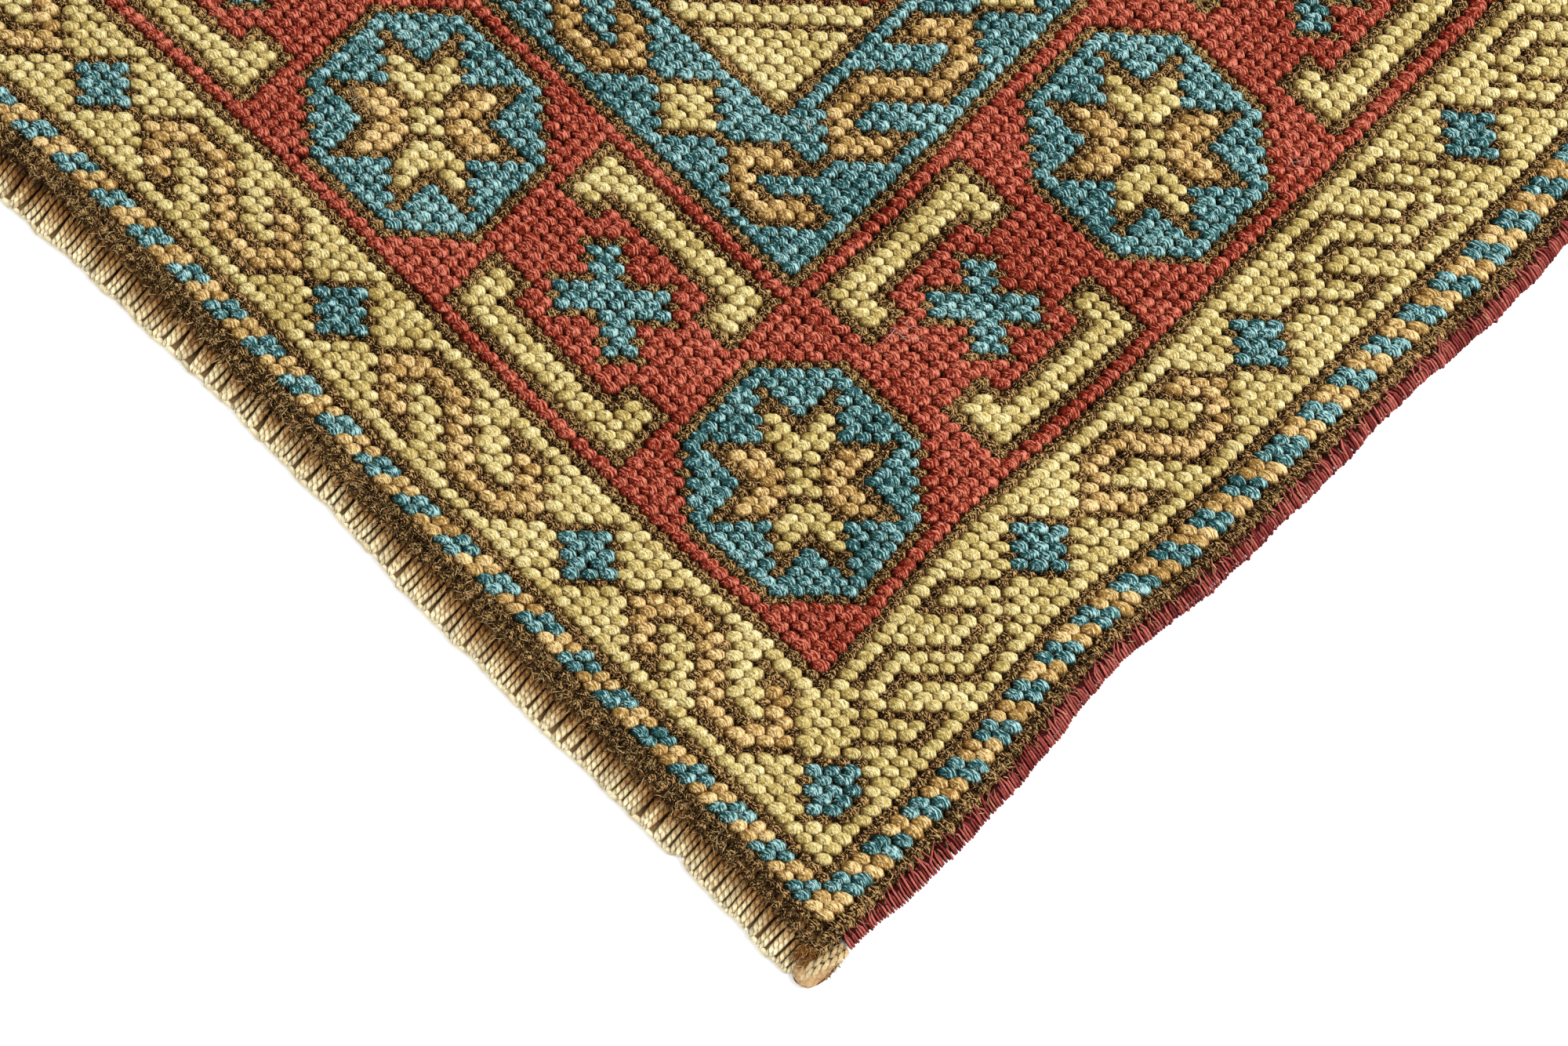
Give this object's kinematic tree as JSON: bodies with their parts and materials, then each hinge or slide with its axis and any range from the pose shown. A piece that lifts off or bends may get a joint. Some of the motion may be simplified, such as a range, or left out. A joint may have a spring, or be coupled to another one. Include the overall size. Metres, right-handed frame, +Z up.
{
  "type": "oriental rug",
  "caption": "Small hand-knotted wool rug lying flat, with a geometric pattern, red overcast selvedges, short plied warp ends and sewn-down corner wraps.",
  "frame": {"origin": "centre of the rug on the surface it lies on", "axes": "+X along the rug's length, in the direction of the warps, +Y across its width, +Z up out of the pile"},
  "size_m": [0.7982, 0.5296, 0.006],
  "materials": {
    "wool_pile": "matte knotted wool pile in red, blue, cream, peach and dark brown",
    "red_binding": "matte overcast wool yarn",
    "cream_warp": "matte plied wool cord, stained at the roots"
  },
  "bodies": {
    "root": {"field": "wool_pile", "binding_near": "red_binding", "binding_far": "red_binding", "warp_ends_left": "cream_warp", "warp_ends_right": "cream_warp", "wrap_left_near": "cream_warp", "wrap_left_far": "cream_warp", "wrap_right_near": "cream_warp", "wrap_right_far": "cream_warp"}
  },
  "joints": []
}
